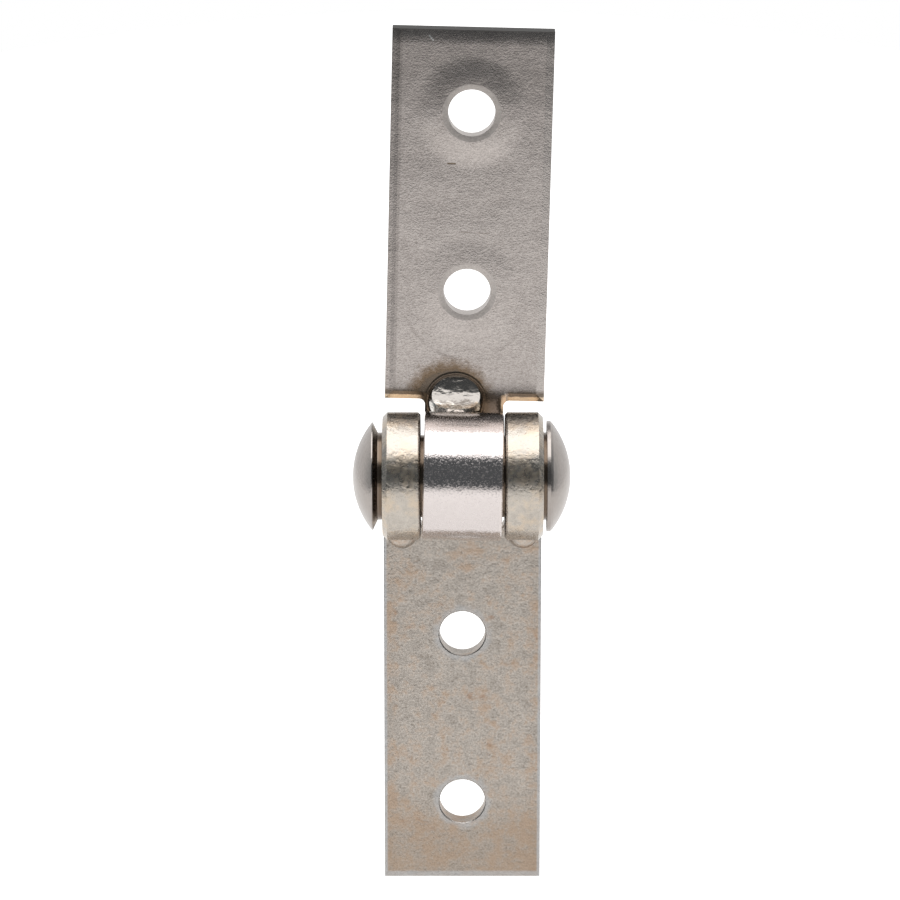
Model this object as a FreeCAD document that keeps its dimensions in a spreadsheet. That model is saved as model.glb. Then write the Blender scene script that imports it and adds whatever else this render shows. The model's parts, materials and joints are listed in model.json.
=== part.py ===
import FreeCAD, Part

import math
import os

import Sketcher
from FreeCAD import Placement, Rotation, Vector

# A strap hinge of two rolled steel leaves on one headed rivet, as fitted to folding doors.
# The rivet's axis is X and passes through the origin, and Z runs along the leaves.
# The front is -Y. Both leaves lie behind the rivet, flush with the back of the barrel.

os.makedirs("parts", exist_ok=True)
doc = FreeCAD.newDocument("folding_door_hinge")

# Driving sizes in millimetres, and one angle in degrees.
DRIVING = {
    "leaf_width": 30.0,
    "plate_thick": 4.0,
    "hole_across": 8.8,
    "hole_first": 33.5,
    "hole_pitch": 34.0,
    "hole_margin": 15.5,
    "shank_across": 15.4,
    "tongue_width": 14.8,
    "blade_lean": 1.4,
    "run_clear": 0.12,
    "side_clear": 0.2,
    "shoulder_clear": 0.24,
    "seam_gap": 0.3,
    "notch_round": 1.1,
    "punch_roll_wide": 1.5,
    "punch_roll_deep": 0.3,
    "ring_wide": 1.0,
    "ring_deep": 0.15,
    "side_bevel": 0.9,
    "notch_bevel": 0.45,
    "edge_break": 0.2,
    "weld_sink": 0.6,
    "weld_scoop": 5.4,
    "scoop_clear": 0.04,
    "tongue_weld_across": 10.4,
    "tongue_weld_rise": 0.1,
    "tongue_weld_side": 1.6,
    "cheek_weld_across": 5.9,
    "cheek_weld_rise": 1.6,
    "end_play": 0.15,
    "collar_lip": 0.2,
    "made_head_across": 20.8,
    "made_head_gap": 0.7,
    "made_head_band": 1.1,
    "made_head_dome": 3.4,
    "made_head_soft": 0.45,
    "set_head_across": 20.2,
    "set_head_gap": 0.9,
    "set_head_cone": 0.9,
    "set_head_edge": 0.2,
    "set_head_dome": 3.6,
}

# Sizes that follow from the driving ones, as formulas of the sheet.
# The tongue leaf leans in the play of the rivet, so the bore and the side gaps leave room for it.
DERIVED = {
    "bore_radius": "=shank_across / 2 + run_clear + tongue_width / 2 * sin(blade_lean * 1deg)",
    "outer_radius": "=bore_radius + plate_thick",
    "side_gap": "=outer_radius * sin(blade_lean * 1deg) + side_clear",
    "shoulder_level": "=outer_radius + leaf_width / 2 * sin(blade_lean * 1deg) + shoulder_clear",
    "leaf_reach": "=hole_first + hole_pitch + hole_margin",
    "notch_width": "=tongue_width + 2 * side_gap",
    "cheek_width": "=(leaf_width - notch_width) / 2",
    "collar_radius": "=bore_radius + collar_lip",
    "scoop_across": "=bore_radius - weld_scoop - scoop_clear",
    "scoop_level": "=sqrt((outer_radius + weld_scoop + scoop_clear)^2 - scoop_across^2)",
}

sheet = doc.addObject("Spreadsheet::Sheet", "sizes")
for row, (name, value) in enumerate({**DRIVING, **DERIVED}.items(), start=1):
    sheet.set(f"A{row}", name)
    sheet.set(f"B{row}", str(value))
    sheet.setAlias(f"B{row}", name)
doc.recompute()


def size(formula):
    """The value of a formula in the sheet's names, such as 'sizes.leaf_width / 2'."""
    return float(sheet.evalExpression(formula))


# Which point of a line or an arc a constraint takes, and the names of a sketch's own axes.
START, END, CENTRE = range(1, 4)
ORIGIN = (-1, 1)
LEVEL_AXIS, UPRIGHT_AXIS = -1, -2

# Sizes closer than this are the same.
ROUNDING = 1e-4

HOLES_IN_A_ROW = 2


def origin_plane(body, role):
    """The body's own base plane of that role."""
    return next(plane for plane in body.Origin.OriginFeatures if plane.Role == role)


def new_sketch(body, name, role):
    """A sketch on one of the body's base planes."""
    sketch = body.newObject("Sketcher::SketchObject", name)
    sketch.AttachmentSupport = [(origin_plane(body, role), "")]
    sketch.MapMode = "FlatFace"
    return sketch


def hold(sketch, name, kind, where, formula):
    """Adds a named measure that starts at its true value and follows the sheet."""
    index = sketch.addConstraint(Sketcher.Constraint(kind, *where, size(formula)))
    sketch.renameConstraint(index, name)
    sketch.setExpression(f"Constraints.{name}", formula)


def hold_point(sketch, name, point, across, up):
    """Ties one point to its two coordinates, each a formula, or None where an axis holds it."""
    for letter, formula, axis in (("X", across, UPRIGHT_AXIS), ("Y", up, LEVEL_AXIS)):
        if formula is None:
            sketch.addConstraint(Sketcher.Constraint("PointOnObject", *point, axis))
        else:
            hold(sketch, f"{name}_{letter}", f"Distance{letter}", (*ORIGIN, *point), formula)


def add_outline(sketch, name, corners):
    """A closed outline of straight lines, through corners given as pairs of formulas."""
    first = sketch.GeometryCount
    spots = [Vector(size(across or "0"), size(up or "0"), 0) for across, up in corners]
    for spot, after in zip(spots, spots[1:] + spots[:1]):
        sketch.addGeometry(Part.LineSegment(spot, after), False)
    for index, (across, up) in enumerate(corners):
        line = first + index
        after = first + (index + 1) % len(corners)
        sketch.addConstraint(Sketcher.Constraint("Coincident", line, END, after, START))
        hold_point(sketch, f"{name}{index}", (line, START), across, up)


def add_feature(body, kind, name, **settings):
    """A feature of the body with its plain settings, made after all before it is up to date."""
    doc.recompute()
    feature = body.newObject(f"PartDesign::{kind}", name)
    for key, value in settings.items():
        setattr(feature, key, value)
    return feature


def near(value, target):
    """True where two sizes are the same but for rounding."""
    return abs(value - target) < ROUNDING


def cut_through(body, name, sketch):
    """Cuts the sketch's outlines right through the body, both ways."""
    before = body.Shape.Volume
    pocket = add_feature(body, "Pocket", name, Profile=sketch, Type="ThroughAll", Midplane=True)
    doc.recompute()
    if near(pocket.Shape.Volume, before):
        raise RuntimeError(f"{name} cuts nothing")
    return pocket


def dress_edges(body, kind, name, wanted, formulas, **settings):
    """Rounds or bevels each edge of the body that the test picks, to sizes from the sheet."""
    doc.recompute()
    base = body.Tip
    names = [f"Edge{number}" for number, edge in enumerate(base.Shape.Edges, 1) if wanted(edge)]
    if not names:
        raise RuntimeError(f"{name} finds no edge")
    feature = add_feature(body, kind, name, Base=(base, names), **settings)
    for key, formula in formulas.items():
        feature.setExpression(key, formula)
    doc.recompute()
    return feature


def round_edges(body, name, wanted, formula):
    """Rounds edges to one radius."""
    return dress_edges(body, "Fillet", name, wanted, {"Radius": formula})


def break_edges(body, name, wanted, formula):
    """Takes the sharpness off edges with a small even bevel."""
    return dress_edges(body, "Chamfer", name, wanted, {"Size": formula})


def is_rim(edge):
    """True for the full circle round a hole."""
    return not edge.Degenerated and isinstance(edge.Curve, Part.Circle) and edge.isClosed()


def in_plane(edge, depth):
    """True for an edge that lies at one depth, all along."""
    box = edge.BoundBox
    return near(box.YMin, depth) and near(box.YMax, depth)


def add_rolled_strip(body):
    """The leaf's side profile: a straight blade whose foot curls round the rivet.

    The strip runs down behind the rivet, under it, up the front and over the top, and its
    square-cut end stops just short of the blade's own front face."""
    profile = new_sketch(body, "profile", "YZ_Plane")
    bore, outer, reach = (size(f"sizes.{key}") for key in ("bore_radius", "outer_radius", "leaf_reach"))
    end_angle = math.acos((bore - size("sizes.seam_gap")) / outer)
    end_way = Vector(math.cos(end_angle), math.sin(end_angle), 0)
    upward = Vector(0, 0, 1)
    top, back, outside, cut, inside, front = range(6)
    sketch_parts = [
        Part.LineSegment(Vector(bore, reach, 0), Vector(outer, reach, 0)),
        Part.LineSegment(Vector(outer, reach, 0), Vector(outer, 0, 0)),
        Part.ArcOfCircle(Part.Circle(Vector(), upward, outer), end_angle, 2 * math.pi),
        Part.LineSegment(end_way * outer, end_way * bore),
        Part.ArcOfCircle(Part.Circle(Vector(), upward, bore), end_angle, 2 * math.pi),
        Part.LineSegment(Vector(bore, 0, 0), Vector(bore, reach, 0)),
    ]
    for part in sketch_parts:
        profile.addGeometry(part, False)
    joins = (
        (top, END, back, START),
        (back, END, outside, END),
        (outside, START, cut, START),
        (cut, END, inside, START),
        (inside, END, front, START),
        (front, END, top, START),
    )
    for join in joins:
        profile.addConstraint(Sketcher.Constraint("Coincident", *join))
    for arc in (outside, inside):
        profile.addConstraint(Sketcher.Constraint("Coincident", arc, CENTRE, *ORIGIN))
        profile.addConstraint(Sketcher.Constraint("PointOnObject", arc, END, LEVEL_AXIS))
    profile.addConstraint(Sketcher.Constraint("Horizontal", top))
    profile.addConstraint(Sketcher.Constraint("Vertical", back))
    profile.addConstraint(Sketcher.Constraint("Vertical", front))
    profile.addConstraint(Sketcher.Constraint("PointOnObject", *ORIGIN, cut))
    hold(profile, "outer", "Radius", (outside,), "sizes.outer_radius")
    hold(profile, "bore", "Radius", (inside,), "sizes.bore_radius")
    hold(profile, "reach", "DistanceY", (*ORIGIN, top, END), "sizes.leaf_reach")
    hold(profile, "seam", "DistanceX", (*ORIGIN, outside, START), "sizes.bore_radius - sizes.seam_gap")
    strip = add_feature(body, "Pad", "strip", Profile=profile, Midplane=True)
    strip.setExpression("Length", "sizes.leaf_width")
    doc.recompute()


def place_on(feature, body, role, across, up, out):
    """Sets a primitive on a base plane of the body, at formulas along the plane and off it."""
    feature.AttachmentSupport = [(origin_plane(body, role), "")]
    feature.MapMode = "FlatFace"
    for axis, formula in (("x", across), ("y", up), ("z", out)):
        feature.setExpression(f"AttachmentOffset.Base.{axis}", formula)


def repeat_up(body, name, original, sketch):
    """Repeats one cut at the next hole of the row, along the sketch's upright axis."""
    row = add_feature(body, "LinearPattern", name, Originals=[original],
                      Direction=(sketch, ["V_Axis"]), Occurrences=HOLES_IN_A_ROW)
    row.setExpression("Length", "sizes.hole_pitch")
    body.Tip = row
    doc.recompute()


def add_bolt_holes(body, ring_face):
    """Two holes in a line up the blade, each with a ring on the face that the punch entered.

    The ring is a shallow cone, where the punch drew the metal down round the hole."""
    sketch = new_sketch(body, "bolt_hole", "XZ_Plane")
    sketch.addGeometry(Part.Circle(Vector(0, size("sizes.hole_first"), 0), Vector(0, 0, 1),
                                   size("sizes.hole_across / 2")), False)
    hold_point(sketch, "hole", (0, CENTRE), None, "sizes.hole_first")
    hold(sketch, "across", "Diameter", (0,), "sizes.hole_across")
    repeat_up(body, "hole_row", cut_through(body, "inner_hole", sketch), sketch)
    ring = add_feature(body, "SubtractiveCone", "inner_ring")
    near_radius, far_radius = "sizes.hole_across / 2", "sizes.hole_across / 2 + sizes.ring_wide"
    foot = "-sizes.bore_radius - sizes.ring_deep"
    if ring_face == "back":
        near_radius, far_radius = far_radius, near_radius
        foot = "-sizes.outer_radius"
    ring.setExpression("Radius1", near_radius)
    ring.setExpression("Radius2", far_radius)
    ring.setExpression("Height", "sizes.ring_deep")
    place_on(ring, body, "XZ_Plane", "0", "sizes.hole_first", foot)
    doc.recompute()
    repeat_up(body, "ring_row", ring, sketch)
    rims = [edge for edge in body.Shape.Edges
            if is_rim(edge) and near(edge.Curve.Radius, size("sizes.hole_across / 2"))]
    if len(rims) != 2 * HOLES_IN_A_ROW:
        raise RuntimeError("a bolt hole isn't open at both faces")


def add_weld(body, name, across, rise, wide):
    """A round weld bead, half a ball, that closes the seam where the curl's end meets the blade."""
    bead = add_feature(body, "AdditiveSphere", name, Angle1=0.0)
    bead.setExpression("Radius", f"{wide} / 2")
    place_on(bead, body, "XZ_Plane", across, f"sizes.outer_radius + {rise}",
             "-sizes.bore_radius - sizes.weld_sink")
    doc.recompute()


def scoop_tongue_weld(body):
    """Hollows the front of the tongue's bead, which froze as a concave fillet.

    The hollow just clears the blade and the knuckle, so it takes metal off the bead alone."""
    scoop = add_feature(body, "SubtractiveCylinder", "weld_hollow")
    scoop.setExpression("Radius", "sizes.weld_scoop")
    scoop.setExpression("Height", "2 * sizes.tongue_weld_across")
    place_on(scoop, body, "YZ_Plane", "sizes.scoop_across", "sizes.scoop_level",
             "-sizes.tongue_weld_side - sizes.tongue_weld_across")
    doc.recompute()


def begin_leaf(label, cut_knuckles, ring_face):
    """One leaf, blade upward, with its knuckles cut and its holes punched."""
    body = doc.addObject("PartDesign::Body", label)
    body.Label = label
    add_rolled_strip(body)
    cut_knuckles(body)
    add_bolt_holes(body, ring_face)
    return body


def outline_at(depth):
    """Picks the blade's outline on the face at this depth, without the holes' rims."""
    return lambda edge: in_plane(edge, depth) and not is_rim(edge) and not near(edge.BoundBox.ZMax, 0)


def rim_at(depth):
    """Picks the holes' rims on the face at this depth."""
    return lambda edge: in_plane(edge, depth) and is_rim(edge)


def round_notch_corners(body, half_width):
    """Rounds the inner corners of the notches, as the blanking punch leaves them."""
    level, side = size("sizes.shoulder_level"), size(half_width)

    def at_corner(edge):
        middle = edge.CenterOfMass
        upright = near(edge.BoundBox.XLength, 0) and near(edge.BoundBox.ZLength, 0)
        return upright and near(middle.z, level) and near(abs(middle.x), side)

    round_edges(body, "notch_corners", at_corner, "sizes.notch_round")


def cut_tongue(body):
    """Cuts both sides of the foot away, so that one middle knuckle is left on a tongue."""
    sketch = new_sketch(body, "side_notches", "XZ_Plane")
    below = "-sizes.outer_radius - sizes.plate_thick"
    for name, sign in (("right", ""), ("left", "-")):
        root, edge = f"{sign}sizes.tongue_width / 2", f"{sign}sizes.leaf_width"
        corners = [(root, below), (edge, below), (edge, "sizes.shoulder_level"),
                   (root, "sizes.shoulder_level")]
        add_outline(sketch, name, corners)
    cut_through(body, "tongue", sketch)
    round_notch_corners(body, "sizes.tongue_width / 2")


def cut_cheeks(body):
    """Cuts the middle of the foot away, so that a knuckle is left at each side."""
    sketch = new_sketch(body, "middle_notch", "XZ_Plane")
    half = "sizes.notch_width / 2"
    below = "-sizes.outer_radius - sizes.plate_thick"
    corners = [(f"-{half}", below), (half, below), (half, "sizes.shoulder_level"),
               (f"-{half}", "sizes.shoulder_level")]
    add_outline(sketch, "notch", corners)
    cut_through(body, "cheeks", sketch)
    round_notch_corners(body, half)


def make_upper_leaf():
    """The tongue leaf, which leans a little to its right in the play of the rivet.

    The punch entered its front: a shallow bevel runs round that face, all but the far end,
    which was cropped from the strip."""
    body = begin_leaf("upper_leaf", cut_tongue, "front")
    front, back, reach = (size(f"sizes.{key}") for key in ("bore_radius", "outer_radius", "leaf_reach"))
    on_front = outline_at(front)
    bevel = dress_edges(body, "Chamfer", "punch_roll",
                        lambda edge: on_front(edge) and not near(edge.BoundBox.ZMin, reach),
                        {"Size": "sizes.punch_roll_wide", "Size2": "sizes.punch_roll_deep"},
                        ChamferType="Two distances")
    flat = max((face for face in bevel.Shape.Faces if in_plane(face, front)), key=lambda face: face.Area)
    if not near(flat.BoundBox.XLength, size("sizes.leaf_width - 2 * sizes.punch_roll_wide")):
        raise RuntimeError("the bevel's wide side isn't on the front")
    break_edges(body, "broken_outline", outline_at(back), "sizes.edge_break")
    break_edges(body, "broken_rims", rim_at(back), "sizes.edge_break")
    add_weld(body, "tongue_weld", "-sizes.tongue_weld_side", "sizes.tongue_weld_rise",
             "sizes.tongue_weld_across")
    scoop_tongue_weld(body)
    body.Placement = Placement(Vector(), Rotation(Vector(0, 1, 0), size("sizes.blade_lean")))
    body.setExpression("Placement.Rotation.Angle", "sizes.blade_lean * 1deg")
    return body


def make_lower_leaf():
    """The cheek leaf, turned half round so that its blade hangs down.

    Its back is the outside of the curl, and all that outside is bevelled: broadly along the
    leaf's two sides and the knuckles' outer ends, and a little round the notch."""
    body = begin_leaf("lower_leaf", cut_cheeks, "back")
    front, back, half = (size(key) for key in ("sizes.bore_radius", "sizes.outer_radius",
                                               "sizes.leaf_width / 2"))
    on_back = outline_at(back)

    def is_side(edge):
        return near(edge.BoundBox.XLength, 0) and near(abs(edge.BoundBox.XMin), half)

    def is_notch(edge):
        return edge.BoundBox.ZMax < size("sizes.shoulder_level + sizes.notch_round")

    break_edges(body, "bevelled_sides", lambda edge: on_back(edge) and is_side(edge),
                "sizes.side_bevel")
    break_edges(body, "bevelled_notch",
                lambda edge: on_back(edge) and is_notch(edge) and not is_side(edge),
                "sizes.notch_bevel")
    break_edges(body, "broken_outline", outline_at(front), "sizes.edge_break")
    break_edges(body, "broken_rims", rim_at(front), "sizes.edge_break")
    middle = "(sizes.leaf_width - sizes.cheek_width) / 2"
    add_weld(body, "right_weld", middle, "sizes.cheek_weld_rise", "sizes.cheek_weld_across")
    add_weld(body, "left_weld", f"-{middle}", "sizes.cheek_weld_rise", "sizes.cheek_weld_across")
    body.Placement = Placement(Vector(), Rotation(Vector(0, 1, 0), 180))
    return body


def make_rivet():
    """The rivet, turned about X: the made head at +X, the head set by riveting at -X.

    A collar outside each cheek stands just off it, so riveting can't clamp the leaves. The
    set head has a thin edge and a coned underside, where the metal spread without a die."""
    body = doc.addObject("PartDesign::Body", "rivet")
    body.Label = "rivet"
    sketch = new_sketch(body, "half_section", "XZ_Plane")
    shank, collar = "sizes.shank_across / 2", "sizes.collar_radius"
    stop = "sizes.leaf_width / 2 + sizes.end_play"
    made_face = "sizes.leaf_width / 2 + sizes.made_head_gap"
    made_rim = f"{made_face} + sizes.made_head_band"
    made_tip = f"{made_rim} + sizes.made_head_dome"
    set_face = "sizes.leaf_width / 2 + sizes.set_head_gap"
    set_rim = f"{set_face} + sizes.set_head_cone"
    set_edge = f"{set_rim} + sizes.set_head_edge"
    set_tip = f"{set_edge} + sizes.set_head_dome"
    made, set_ = "sizes.made_head_across / 2", "sizes.set_head_across / 2"
    corners = [
        (made_rim, f"{made} - sizes.made_head_soft"),
        (f"{made_rim} - sizes.made_head_soft", made),
        (made_face, made),
        (made_face, collar),
        (stop, collar),
        (stop, shank),
        (f"-({stop})", shank),
        (f"-({stop})", collar),
        (f"-({set_face})", collar),
        (f"-({set_rim})", set_),
        (f"-({set_edge})", set_),
    ]
    spots = [Vector(size(across), size(up), 0) for across, up in corners]
    for spot, after in zip(spots, spots[1:]):
        sketch.addGeometry(Part.LineSegment(spot, after), False)
    last = len(spots) - 2
    for line in range(last):
        sketch.addConstraint(Sketcher.Constraint("Coincident", line, END, line + 1, START))
    for index, (across, up) in enumerate(corners[:-1]):
        hold_point(sketch, f"corner{index}", (index, START), across, up)
    hold_point(sketch, "set_edge", (last, END), *corners[-1])

    def add_dome(name, rim, tip, height, radius, line_end):
        """The arc from the rim to the tip, centred on the rivet's axis."""
        rise, reach = size(height), size(radius)
        bend = (reach ** 2 + rise ** 2) / (2 * rise)
        outward = math.copysign(1.0, size(tip))
        centre = Vector(size(tip) - outward * bend, 0, 0)
        middle_angle = math.asin(reach / bend) / 2
        middle = centre + Vector(outward * math.cos(middle_angle), math.sin(middle_angle), 0) * bend
        arc = Part.Arc(rim, middle, Vector(size(tip), 0, 0))
        number = sketch.addGeometry(arc, False)
        ends = sorted((START, END), key=lambda which: (sketch.getPoint(number, which) - rim).Length)
        sketch.addConstraint(Sketcher.Constraint("Coincident", number, ends[0], *line_end))
        sketch.addConstraint(Sketcher.Constraint("PointOnObject", number, CENTRE, LEVEL_AXIS))
        hold_point(sketch, name, (number, ends[1]), tip, None)
        return number, ends[1]

    made_end = add_dome("made_tip", spots[0], made_tip, "sizes.made_head_dome",
                        f"{made} - sizes.made_head_soft", (0, START))
    set_end = add_dome("set_tip", spots[-1], f"-({set_tip})", "sizes.set_head_dome", set_, (last, END))
    axis_line = sketch.addGeometry(Part.LineSegment(sketch.getPoint(*set_end),
                                                    sketch.getPoint(*made_end)), False)
    sketch.addConstraint(Sketcher.Constraint("Coincident", axis_line, START, *set_end))
    sketch.addConstraint(Sketcher.Constraint("Coincident", axis_line, END, *made_end))
    add_feature(body, "Revolution", "turned", Profile=sketch, Angle=360.0,
                ReferenceAxis=(sketch, ["H_Axis"]))
    doc.recompute()
    return body


leaves_and_rivet = [make_upper_leaf(), make_lower_leaf(), make_rivet()]
doc.recompute()

for item in doc.Objects:
    if {"Invalid", "Error"} & set(item.State):
        raise RuntimeError(f"{item.Label} failed: {item.State}")

for body in leaves_and_rivet:
    shape = body.Shape
    if shape.isNull() or not shape.isValid() or len(shape.Solids) != 1:
        raise RuntimeError(f"{body.Label} isn't one sound solid")
    shape.exportStep(f"parts/{body.Label}.step")
    print(f"{body.Label}: {shape.Volume:.1f} mm3, {len(shape.Faces)} faces, {shape.BoundBox}")
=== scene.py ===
# %% [markdown]
# # A folding door hinge
#
# The hinge is two rolled steel leaves on one riveted pin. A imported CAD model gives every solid
# at its real size and place, in metres: X runs along the rivet, Z up the leaves, and the front
# faces -Y. This script dresses that model. It never moves a solid: it gives each one a finish,
# and sets up the light, the table and the camera.

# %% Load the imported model
import json
import math

import bmesh
import bpy
from mathutils import Matrix, Vector


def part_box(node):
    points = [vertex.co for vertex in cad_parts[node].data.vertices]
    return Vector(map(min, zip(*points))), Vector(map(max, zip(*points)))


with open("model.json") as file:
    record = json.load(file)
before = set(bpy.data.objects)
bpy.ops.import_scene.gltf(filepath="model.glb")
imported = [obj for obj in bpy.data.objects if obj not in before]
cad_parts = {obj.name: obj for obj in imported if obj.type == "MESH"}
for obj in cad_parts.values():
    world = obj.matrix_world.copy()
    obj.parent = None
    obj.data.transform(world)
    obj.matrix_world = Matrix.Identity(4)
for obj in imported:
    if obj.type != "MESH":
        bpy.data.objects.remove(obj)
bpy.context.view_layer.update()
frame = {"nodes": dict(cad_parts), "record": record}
scene = bpy.context.scene

# %% [markdown]
# ## The camera
#
# The hinge is looked at from in front and a little above, through a long lens. A long lens from
# far away keeps the two ends of a slim object the same size, so it looks straight.

# %% Set the camera
MM = 0.001
AIM = Vector((-2.378, 0.0, 5.064)) * MM
CAMERA_TILT = math.radians(15.33)
CAMERA_DISTANCE = 804.65 * MM
FOCAL_LENGTH = 172.1
SENSOR_WIDTH = 36.0
NEAREST_SEEN = 0.01

camera_data = bpy.data.cameras.new("studio_camera")
camera_data.lens = FOCAL_LENGTH
camera_data.sensor_width = SENSOR_WIDTH
camera_data.clip_start = NEAREST_SEEN
camera = bpy.data.objects.new("studio_camera", camera_data)
camera.location = AIM + Vector((0, -math.cos(CAMERA_TILT), math.sin(CAMERA_TILT))) * CAMERA_DISTANCE
camera.rotation_euler = (math.pi / 2 - CAMERA_TILT, 0, 0)
scene.collection.objects.link(camera)
scene.camera = camera
scene.view_settings.view_transform = "Standard"
print("camera at", [round(value, 4) for value in camera.location])

# %% [markdown]
# ## Writing shaders as sums
#
# A procedural finish is arithmetic on coordinates: distances, masks and noise. Placing a Math
# node by hand for each step hides that arithmetic. So a small class wraps a socket and lets
# Python's own operators add the nodes. Any other node comes from one method, `node`.

# %% A socket that can be used in sums
class Wire:
    """One output of a shader tree."""

    def __init__(self, tree, socket):
        self.tree = tree
        self.socket = socket

    def node(self, kind, inputs, settings=None, output=0):
        """Adds a node: its settings first, then a value or a wire for each socket."""
        made = self.tree.nodes.new(kind)
        for key, value in (settings or {}).items():
            setattr(made, key, value)
        for key, value in inputs.items():
            if isinstance(value, Wire):
                self.tree.links.new(value.socket, made.inputs[key])
            else:
                made.inputs[key].default_value = value
        return Wire(self.tree, made.outputs[output])

    def math(self, operation, *values):
        """One Math node on up to three values."""
        return self.node("ShaderNodeMath", dict(enumerate(values)), {"operation": operation})

    def __add__(self, other):
        return self.math("ADD", self, other)

    def __sub__(self, other):
        return self.math("SUBTRACT", self, other)

    def __rsub__(self, other):
        return self.math("SUBTRACT", other, self)

    def __mul__(self, other):
        return self.math("MULTIPLY", self, other)

    __radd__ = __add__
    __rmul__ = __mul__

    def __abs__(self):
        return self.math("ABSOLUTE", self)

    def least(self, other):
        return self.math("MINIMUM", self, other)

    def most(self, other):
        return self.math("MAXIMUM", self, other)

    def far(self, other):
        """The length of the vector with these two parts."""
        return self.math("SQRT", self * self + other * other)

    def rise(self, start, end):
        """A mask that climbs smoothly from 0 at start to 1 at end."""
        return self.node("ShaderNodeMapRange", {"Value": self, "From Min": start, "From Max": end},
                         {"interpolation_type": "SMOOTHSTEP"})

    def fall(self, start, end):
        """A mask that drops smoothly from 1 at start to 0 at end."""
        return 1 - self.rise(start, end)

    def pick(self, first, second):
        """One colour where this mask is 0, another where it is 1."""
        return self.node("ShaderNodeMix", {0: self, 6: first, 7: second}, {"data_type": "RGBA"}, 2)

    def axes(self, *numbers):
        """The chosen parts of a vector: 0 for X, 1 for Y and 2 for Z."""
        return [self.node("ShaderNodeSeparateXYZ", {0: self}, output=number) for number in numbers]


def paint(base, *layers):
    """Lays colours over a first one, each through a mask of its own."""
    for mask, colour in layers:
        base = mask.pick(base, colour)
    return base


def tone(red, green, blue):
    """A colour as a screen shows it, 0 to 255, turned to the linear values that shaders use."""
    shares = (value / 255 for value in (red, green, blue))
    return (*(part / 12.92 if part < 0.04 else ((part + 0.055) / 1.055) ** 2.4 for part in shares), 1)


WHITE = (1, 1, 1, 1)

# %% [markdown]
# ## The studio
#
# Metal has hardly any colour of its own: it shows its surroundings. Here those are a broad soft
# lamp overhead, a pale table below, a pale wall low down behind, and an unlit room in front. The
# lamp gives the barrel its white band, and the room the dark band under it. The table dims towards
# its far edge, which shades the upper leaf from its foot to its top; a painted shade in the leaf's
# colour darkens its top further. The background is white only to the camera, by the Is Camera Ray
# output, so it adds no light.

# %% Hang the soft lamp
LAMP_HEIGHT = 1.2
LAMP_FORWARD = 0.11
LAMP_WIDTH = 1.66
LAMP_RADIANCE = 1.9
WATTS_PER_RADIANCE = 4

lamp_data = bpy.data.lights.new("overhead_softbox", "AREA")
lamp_data.shape = "SQUARE"
lamp_data.size = LAMP_WIDTH
lamp_data.energy = LAMP_RADIANCE * WATTS_PER_RADIANCE * LAMP_WIDTH ** 2
lamp = bpy.data.objects.new("overhead_softbox", lamp_data)
lamp.location = (0, -LAMP_FORWARD, LAMP_HEIGHT)
lamp.visible_camera = False
scene.collection.objects.link(lamp)
print(f"lamp of {lamp_data.energy:.1f} W, {LAMP_WIDTH} m wide, {LAMP_HEIGHT} m up")

# %% Light the room by direction
FRONT_LEVEL = 0.12
WALL_LEVEL = 0.28
WALL_FOOT_LEVEL = 0.6
FRONT_TINT = (0.86, 0.94, 1, 1)

world = bpy.data.worlds.new("studio_room")
scene.world = world
world.use_nodes = True
room = world.node_tree
sky_shader = room.nodes["Background"]
way = Wire(room, room.nodes.new("ShaderNodeTexCoord").outputs["Generated"])
to_back, to_top = way.axes(1, 2)
light_path = room.nodes.new("ShaderNodeLightPath")
seen = Wire(room, light_path.outputs["Is Camera Ray"]).most(
    Wire(room, light_path.outputs["Is Transmission Ray"]))
behind = to_back.rise(-0.1, 0.6)
low = to_top.fall(0.25, 0.7)
level = behind * (low * WALL_FOOT_LEVEL + WALL_LEVEL) + FRONT_LEVEL
strength = seen + (1 - seen) * level
room.links.new(strength.socket, sky_shader.inputs["Strength"])
tint = seen.most(behind).pick(FRONT_TINT, WHITE)
room.links.new(tint.socket, sky_shader.inputs["Color"])
print(f"the room in front is at {FRONT_LEVEL:.0%} of the white behind")

# %% Lay the pale table
FLOOR_LEVEL = -0.18
FLOOR_HALF_WIDTH = 0.6
FLOOR_HALF_DEPTH = 1.6
FLOOR_SIDES = 128

mesh = bpy.data.meshes.new("floor")
shape = bmesh.new()
stretch = Matrix.Diagonal((FLOOR_HALF_WIDTH, FLOOR_HALF_DEPTH, 1, 1))
oval = Matrix.Translation((0, 0, FLOOR_LEVEL)) @ stretch
bmesh.ops.create_circle(shape, cap_ends=True, segments=FLOOR_SIDES, radius=1, matrix=oval)
shape.to_mesh(mesh)
shape.free()
floor = bpy.data.objects.new("floor", mesh)
scene.collection.objects.link(floor)
print(f"table at {FLOOR_LEVEL} m, {2 * FLOOR_HALF_WIDTH} m wide and {2 * FLOOR_HALF_DEPTH} m deep")

# %% [markdown]
# The table has two looks. To the camera it glows nearly white, and more so away from the middle,
# where the lamp lights it less. A metal surface sees it greyer, and darker still at the far edge.
# Any other ray finds plain matt card.

# %% Give the table its two looks
CARD = (0.8, 0.79, 0.78, 1)
CARD_ROUGHNESS = 0.9

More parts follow.
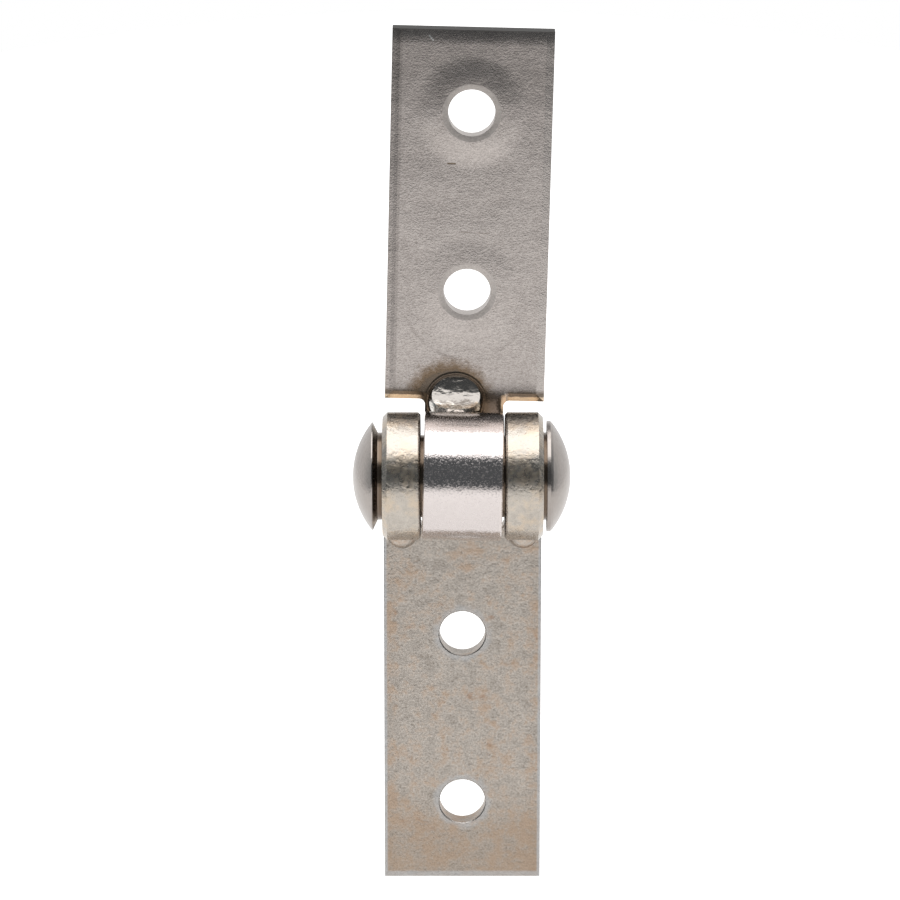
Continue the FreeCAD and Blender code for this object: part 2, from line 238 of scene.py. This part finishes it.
floor_finish = bpy.data.materials.new("pale_table")
floor_finish.use_nodes = True
tree = floor_finish.node_tree
matte = tree.nodes["Principled BSDF"]
matte.inputs["Base Color"].default_value = CARD
matte.inputs["Roughness"].default_value = CARD_ROUGHNESS
matte.inputs["Specular IOR Level"].default_value = 0
matte.inputs["Emission Color"].default_value = WHITE
light_path = tree.nodes.new("ShaderNodeLightPath")
by_camera = Wire(tree, light_path.outputs["Is Camera Ray"])
by_metal = Wire(tree, light_path.outputs["Is Glossy Ray"])
spot = Wire(tree, tree.nodes.new("ShaderNodeTexCoord").outputs["Object"])
east, north = spot.axes(0, 1)
away = east.far(north)
white = away.rise(0.1, 0.9) * 0.5 + 0.45
grey = away.rise(0.1, 0.6) * 0.15 + 0.4
dimming = grey * (1 - away.rise(0.8, 1.6) * 0.75)
glow = by_camera * white + (1 - by_camera) * by_metal * dimming
tree.links.new(glow.socket, matte.inputs["Emission Strength"])
mesh.materials.append(floor_finish)
print(f"{floor_finish.name}: {len(tree.nodes)} nodes")

# %% [markdown]
# ## Places on the leaves
#
# A finish often depends on a place: the barrel is glossier than the blade, and heat has tinted
# the steel round a weld. Shader sizes are easier to read in millimetres. Those that the packed
# model can tell are taken from its boxes and mounts. The rest come from the hinge's drawing:
# the plate, the half width of the tongue, the height of the shoulders, and the ball that the
# weld bead is a part of.

# %% Read the sizes that the finishes need
PLATE = 4.0
TONGUE_HALF = 7.4
SHOULDER = 12.6
BEAD_ACROSS, BEAD_DEPTH, BEAD_UP = -1.6, 8.6, 12.1
BEAD_RADIUS = 5.2

lower_low, lower_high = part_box("lower_leaf")
OUTER = lower_high.y / MM
FACE = OUTER - PLATE
HALF_WIDTH = (lower_high.x - lower_low.x) / 2 / MM
REACH = -lower_low.z / MM
mounts = {mount["name"]: mount for mount in frame["record"]["mounts"]}
bolt_way = Vector(mounts["upper_bolts"]["pos_m"])
LEAN = math.atan2(bolt_way.x, bolt_way.z)
HOLE_MIDDLE = math.hypot(bolt_way.x, bolt_way.z) / MM
HOLE_SPAN = mounts["lower_bolts"]["dims"]["spacing_y_mm"]
HOLE_RADIUS = mounts["lower_bolts"]["dims"]["hole_r_mm"]
print(f"barrel radius {OUTER:.2f}, half width {HALF_WIDTH:.2f}, reach {REACH:.1f} mm,",
      f"lean {math.degrees(LEAN):.2f} degrees")
print(f"holes of radius {HOLE_RADIUS} mm, {HOLE_SPAN} mm apart, {HOLE_MIDDLE:.2f} mm up")

# %% [markdown]
# ## Tools for metal
#
# Each finish starts with the place on the solid in millimetres and ends with three wires: the
# colour, the roughness and the relief. In between stand masks, whose numbers are distances in
# millimetres from the edge they are named after, and random speckles.

# %% Begin and end a metal finish
# Dark brown for the gaps between the parts: grease, together with painted shade where the gaps lie in
# shadow.
GREASE_AND_SHADE = tone(70, 58, 48)


def start_metal(name, shown, lean=0.0):
    """A new metal and its place in mm, first whole and then as three wires."""
    material = bpy.data.materials.new(name)
    material.use_nodes = True
    material.diffuse_color = shown
    tree = material.node_tree
    shader = tree.nodes["Principled BSDF"]
    shader.inputs["Metallic"].default_value = 1
    start = Wire(tree, tree.nodes.new("ShaderNodeTexCoord").outputs["Object"])
    place = start.node("ShaderNodeMapping", {"Vector": start, "Rotation": (0, -lean, 0),
                                             "Scale": (1 / MM, 1 / MM, 1 / MM)})
    return material, place, *place.axes(0, 1, 2)


def finish_metal(material, base, roughness, relief, metallic=None):
    """Joins the colour, the roughness and a relief in mm to the shader."""
    tree = material.node_tree
    shader = tree.nodes["Principled BSDF"]
    bump = base.node("ShaderNodeBump", {"Height": relief, "Strength": 1, "Distance": MM})
    wires = {"Base Color": base, "Roughness": roughness, "Normal": bump, "Metallic": metallic}
    for name, wire in wires.items():
        if wire is not None:
            tree.links.new(wire.socket, shader.inputs[name])
    print(f"{material.name}: {len(tree.nodes)} nodes")

# %% Speckles and strokes
STROKE_FADE = 0.3


def speckle(place, grain, detail=3.0, stretch=(1, 1, 1), shift=0.0):
    """Soft random values round 0.5, one bump about every `grain` mm."""
    wide = place.node("ShaderNodeMapping", {"Vector": place, "Scale": stretch,
                                            "Location": (shift, shift, shift)})
    return place.node("ShaderNodeTexNoise", {"Vector": wide, "Scale": 1 / grain, "Detail": detail})


def stroke(across, up, middle, length, width, degrees):
    """A mask for one short straight mark on a leaf's face."""
    right, above = across - middle[0], up - middle[1]
    turn = math.radians(degrees)
    along = abs(right * math.cos(turn) + above * math.sin(turn))
    aside = abs(above * math.cos(turn) - right * math.sin(turn))
    return along.fall(length / 2 - STROKE_FADE, length / 2) * aside.fall(width / 4, width / 2)

# %% [markdown]
# ## The upper leaf
#
# This leaf was blanked and rolled from bright strip. Its face keeps a fine wavy grain. The punch
# left the metal slightly mounded round each hole and drooped at the cropped end, and a polished
# face shows such slopes as dark patches. The weld's heat has left grey, brown and straw tints
# round the bead. Painted light is laid in the colour too: painted shade towards the top, on the
# bead's upper part along with its oxide, in the gaps and on the cropped end, and painted highlights
# and shade along the edges, the shoulders' bevels and the tongue's right edge.

# %% Places on the upper leaf
SATIN_SHOWN = tone(168, 160, 156)

satin, place, across, depth, up = start_metal("satin_plate", SATIN_SHOWN, LEAN)
radius = depth.far(up)
curl = radius.fall(OUTER + 0.2, OUTER + 0.6)
face = depth.fall(FACE + 0.35, FACE + 0.45)
hole = across.far(abs(up - HOLE_MIDDLE) - HOLE_SPAN / 2) - HOLE_RADIUS
ring = hole.fall(0.8, 1.2)
side = HALF_WIDTH - abs(across)
bead_right, bead_above = across - BEAD_ACROSS, up - BEAD_UP
off_bead = bead_right.far(bead_above) - BEAD_RADIUS
ball = bead_right.far(depth - BEAD_DEPTH).far(bead_above)
bead = ball.fall(BEAD_RADIUS + 0.05, BEAD_RADIUS + 0.15)
bead = bead * depth.fall(FACE - 0.1, FACE - 0.02) * radius.rise(OUTER, OUTER + 0.06)
end_face = up.rise(REACH - 0.2, REACH - 0.05)
print("the bead's ball lies at", (BEAD_ACROSS, BEAD_DEPTH, BEAD_UP), "mm")

# %% Relief of the upper leaf
GRAIN_DEEP, WAVE_DEEP, CLOUD_DEEP = 0.022, 0.012, 0.09
MOUND_HIGH, LOW_MOUND_HIGH, FUNNEL_HIGH = 0.24, 0.09, 0.09
DROOP_LENGTH, DROOP_RATE = 2.9, 0.024
LIP_HIGH, RIPPLE_DEEP = 0.06, 0.26

grain = speckle(place, 0.3, 2.0, (0.8, 1, 1))
wave = speckle(place, 1.1, 4.0)
cloud = speckle(place, 8.0, 3.0)
ripple = speckle(place, 1.5, 2.0, (1, 1, 1.3))
swell = hole.fall(0, 6.5)
mound = swell * up.rise(HOLE_MIDDLE - 2, HOLE_MIDDLE + 2)
low_mound = swell * up.fall(HOLE_MIDDLE - 2, HOLE_MIDDLE + 2)
droop = (up - (REACH - DROOP_LENGTH)).most(0)
funnel = (1 - hole).most(0).least(1)
lip = abs(off_bead - 0.45).fall(0, 0.45) * radius.rise(OUTER, OUTER + 0.4) * face
relief = grain * GRAIN_DEEP + wave * WAVE_DEEP + cloud * CLOUD_DEEP
relief = relief * (1 - bead) + mound * MOUND_HIGH + low_mound * LOW_MOUND_HIGH
relief = relief + funnel * FUNNEL_HIGH - droop * droop * DROOP_RATE
relief = relief + lip * LIP_HIGH + bead * ripple * RIPPLE_DEEP
print(f"the deepest relief is the bead's, {RIPPLE_DEEP} mm")

# %% Colours of the upper leaf's blade
BLADE_DIM, BLADE_BRIGHT = tone(156, 148, 143), tone(206, 198, 193)
LEFT_SHADE_LINE, RIGHT_HIGHLIGHT_BAND = tone(136, 129, 125), tone(196, 189, 184)
TOP_SHADE, RING_GREY = tone(136, 129, 124), tone(206, 200, 194)

# A painted shade line along the left edge and a painted highlight band along the right edge.
left_shade_line = abs(side - 1.4).fall(0.4, 0.8) * across.fall(-1, 1) * face
right_highlight_band = side.fall(1.3, 1.6) * across.rise(-1, 1) * face
blade = (cloud * 0.5 + wave * 0.4 + grain * 1.1 - 0.5).pick(BLADE_DIM, BLADE_BRIGHT)
blade = paint(
    blade,
    (left_shade_line * 0.4, LEFT_SHADE_LINE),
    (right_highlight_band * 0.5, RIGHT_HIGHLIGHT_BAND),
    # Darker towards the top of the leaf: a painted shade.
    ((up - REACH).rise(-20, -8) * 0.3, TOP_SHADE),
    (ring * grain * 0.6, RING_GREY))
print("the blade's colour is laid")

# %% Heat tints round the bead and on the tongue, painted light on the shoulders
HEAT_BROWN, HEAT_GREY = tone(116, 96, 74), tone(98, 93, 88)
TONGUE_BROWN = tone(84, 73, 60)
SHOULDER_SHADE_BROWN, SHOULDER_HIGHLIGHT_GOLD = tone(108, 94, 80), tone(226, 203, 176)
RIM_HIGHLIGHT_GOLD = tone(235, 212, 188)

warp = (wave - 0.5) * 2.2 + (grain - 0.5) * 1.2
heat = (bead_right + 1.2).far(bead_above) + warp
scorch = radius.rise(OUTER, OUTER + 0.5) * (face * 0.65 + 0.35)
tongue = abs(across).fall(TONGUE_HALF, TONGUE_HALF + 0.3) * up.fall(13.0, 15.5) * face
edge = up - SHOULDER + warp * 0.15
shoulder = abs(across).rise(TONGUE_HALF + 0.3, TONGUE_HALF + 1.2) * face
rim = abs(across - TONGUE_HALF).fall(0.4, 0.55) * up.fall(13.0, 14.0) * face
tinted = paint(
    blade,
    (heat.fall(6.4, 9.6) * 0.95 * scorch, HEAT_BROWN),
    (heat.fall(5.8, 7.0) * 0.6 * scorch, HEAT_GREY),
    (tongue * (0.6 + grain * 0.5), TONGUE_BROWN),
    # The shoulders' bevels: a painted brown shade above a painted gold highlight.
    (edge.fall(1.4, 2.4) * shoulder * 0.85, SHOULDER_SHADE_BROWN),
    (edge.fall(0.7, 0.95) * shoulder, SHOULDER_HIGHLIGHT_GOLD),
    # A painted highlight along the tongue's right edge.
    (rim, RIM_HIGHLIGHT_GOLD))
print("the heat tints are laid")

# %% Knuckle, bead and small marks
KNUCKLE_DIM, KNUCKLE_BRIGHT = tone(204, 196, 193), tone(222, 214, 212)
BEAD_SILVER, BEAD_STRAW, BEAD_OXIDE_AND_SHADE = tone(214, 210, 203), tone(176, 160, 140), tone(156, 151, 146)
MARK_BROWN, WASHER_GREY, NICK_BRIGHT = tone(92, 76, 54), tone(120, 112, 106), tone(240, 238, 234)
CROPPED_END_SHADE = tone(52, 50, 48)

knuckle = (wave * 0.6 + grain * 0.6 - 0.1).pick(KNUCKLE_DIM, KNUCKLE_BRIGHT)
silver = bead_right.rise(1.0, 3.6).pick(BEAD_SILVER, BEAD_STRAW)
# The bead's upper part is darker: partly oxide, partly painted shade where the bead would catch the
# lamp.
oxide_and_shade = (up + (ripple - 0.5) * 2).rise(12.2, 13.0)
# The centre knuckle's ends inside the gaps: grease with painted shade.
gap = abs(across).rise(TONGUE_HALF - 0.12, TONGUE_HALF) * radius.fall(OUTER - 0.5, OUTER - 0.25)
dash = stroke(across, up, (-3.5, 57.9), 1.9, 0.4, 0) * face
scrape = stroke(across, up, (1.1, 44.9), 5.6, 0.3, -2) * face * grain.rise(0.4, 0.6)
nick = stroke(across, up, (-7.8, 81.4), 1.6, 0.4, -50) * face
washer = abs(across.far(up - 32.5) - 11.9).fall(0.1, 0.5)
washer = washer * up.fall(24, 30) * cloud.rise(0.4, 0.6) * face
base = paint(
    tinted,
    (curl * 0.95, knuckle),
    (bead, oxide_and_shade.pick(silver, BEAD_OXIDE_AND_SHADE)),
    (gap * 0.8, GREASE_AND_SHADE),
    (dash.most(scrape * 0.6) * 0.8, MARK_BROWN),
    (washer * 0.45, WASHER_GREY),
    (nick, NICK_BRIGHT),
    # The cropped end face is painted nearly black and matt: a painted shade.
    (end_face, CROPPED_END_SHADE))
print("the knuckle, the bead and the marks are laid")

# %% Roughness of the upper leaf
BLADE_ROUGHNESS = 0.25
BEAD_ROUGHNESS, OXIDE_ROUGHNESS = 0.13, 0.14
END_ROUGHNESS = 0.7

polish = curl * (grain.rise(0.45, 0.7) * 0.24 - 0.13)
roughness = BLADE_ROUGHNESS + (cloud - 0.5) * 0.06 + ring * 0.12 + polish
roughness = roughness * (1 - bead) + bead * (oxide_and_shade * OXIDE_ROUGHNESS + BEAD_ROUGHNESS)
roughness = roughness.most(end_face * END_ROUGHNESS)
finish_metal(satin, base, roughness, relief, metallic=1 - end_face)

# %% [markdown]
# ## The lower leaf
#
# The zinc on this leaf is duller and mottled: beige, ochre and a little rust have crept over it,
# and only its sheared edges and its hole rims are clean and bluish; along the edges that paler
# colour is also a painted highlight.

# %% Places on the lower leaf
STAINED_SHOWN = tone(174, 165, 155)

stained, place, across, depth, up = start_metal("stained_plate", STAINED_SHOWN)
radius = depth.far(up)
curl = radius.fall(OUTER + 0.2, OUTER + 0.6)
face = depth.fall(FACE + 0.15, FACE + 0.25)
side = HALF_WIDTH - abs(across)
above_end = up + REACH
grain = speckle(place, 0.38, 2.0)
fleck = speckle(place, 0.8, 4.0, shift=20.0)
patch = speckle(place, 2.6, 5.0)
cloud = speckle(place, 7.0, 4.0)
hole = across.far(abs(up + HOLE_MIDDLE) - HOLE_SPAN / 2) - HOLE_RADIUS
ring = (hole + (patch - 0.5) * 2).fall(0.4, 1.6)
print("four sizes of speckle, from 0.38 to 7 mm")

# %% Stained plate of the lower leaf
ZINC_DIM, ZINC_BRIGHT = tone(142, 133, 124), tone(212, 205, 197)
OCHRE, RUST, END_BEIGE = tone(172, 142, 114), tone(160, 124, 98), tone(150, 134, 118)
PEPPER, CLEAN_ZINC_AND_SHEEN = tone(112, 98, 84), tone(182, 184, 186)
BARREL_DIM, BARREL_BRIGHT = tone(164, 157, 148), tone(204, 197, 188)
HONEY = tone(206, 180, 146)

mottle = cloud * 0.6 + patch * 1.1 + fleck * 0.9 + grain * 1.2 - 1.4
border = side.fall(1.5, 3.5) * 0.05 + above_end.fall(3.0, 22.0) * 0.1
ochre = (patch * 0.6 + cloud * 0.5 + fleck * 0.35 + border).rise(0.68, 0.92)
rust = (speckle(place, 1.8, 4.0, shift=40.0) * 0.6 + cloud * 0.4).rise(0.6, 0.7)
pepper = fleck.fall(0.3, 0.4) * grain.fall(0.4, 0.5)
# Clean zinc at the hole rims and the edges; along the edges it is also a painted highlight.
clean_and_sheen = side.fall(0.35, 0.75).most(ring * 0.7).most(above_end.fall(0.9, 1.4) * 0.8)
honey = (patch * 0.7 + cloud * 0.5 + fleck * 0.3).rise(0.68, 0.9)
barrel = (fleck * 1.2 + patch * 0.6 - 0.4).pick(BARREL_DIM, BARREL_BRIGHT)
# The outer knuckles' inner ends inside the gaps: grease with painted shade.
gap = abs(across).fall(8.36, 8.5) * radius.fall(OUTER - 0.4, OUTER - 0.2)
base = paint(
    mottle.pick(ZINC_DIM, ZINC_BRIGHT),
    (ochre * 0.65, OCHRE),
    (rust * 0.5, RUST),
    (above_end.fall(2, 24) * 0.35, END_BEIGE),
    (pepper * 0.35, PEPPER),
    (clean_and_sheen * face * 0.75, CLEAN_ZINC_AND_SHEEN),
    (curl * 0.95, (honey * 0.35).pick(barrel, HONEY)),
    (gap * 0.8, GREASE_AND_SHADE))
roughness = 0.4 + (cloud - 0.5) * 0.1 + (fleck - 0.5) * 0.3 - curl * 0.12
relief = grain * 0.04 + fleck * 0.06 + patch * 0.07
finish_metal(stained, base, roughness, relief)

# %% [markdown]
# ## The rivet
#
# Both heads were formed cold and plated with the rest. They are smooth but not mirrors. The
# grooves beside the knuckles are painted dark brown, partly grease and partly painted shade in
# the gaps. The relief fades out at each head's tip, where the facets come together in a point.

# %% Plated finish of the rivet
RIVET_SHOWN = tone(180, 175, 170)
HEAD_DIM, HEAD_BRIGHT = tone(146, 139, 134), tone(176, 169, 164)
GROOVE_BROWN = tone(96, 78, 60)

plated, place, across, depth, up = start_metal("plated_rivet", RIVET_SHOWN)
radius = depth.far(up)
cloud = speckle(place, 4.0, 3.0)
fleck = speckle(place, 0.7, 3.0)
# The collar in the gaps beside the knuckles: grease with painted shade.
groove = abs(across).fall(HALF_WIDTH + 0.55, HALF_WIDTH + 0.8).most(radius.fall(8.4, 8.8) * 0.9)
grease_and_shade = groove * abs(across).fall(HALF_WIDTH + 1.6, HALF_WIDTH + 2.2)
base = paint(
    (cloud * 0.6 + fleck * 0.5 - 0.05).pick(HEAD_DIM, HEAD_BRIGHT),
    (grease_and_shade * 0.85, GROOVE_BROWN))
roughness = 0.24 + (cloud - 0.5) * 0.1
relief = (fleck * 0.02 + cloud * 0.03) * radius.rise(0.4, 1.6)
finish_metal(plated, base, roughness, relief)

# %% Give each solid its finish
for name, material in (("upper_leaf", satin), ("lower_leaf", stained), ("rivet", plated)):
    solid = frame["nodes"][name]
    solid.data.materials.clear()
    solid.data.materials.append(material)
    print(name, "is finished in", material.name)
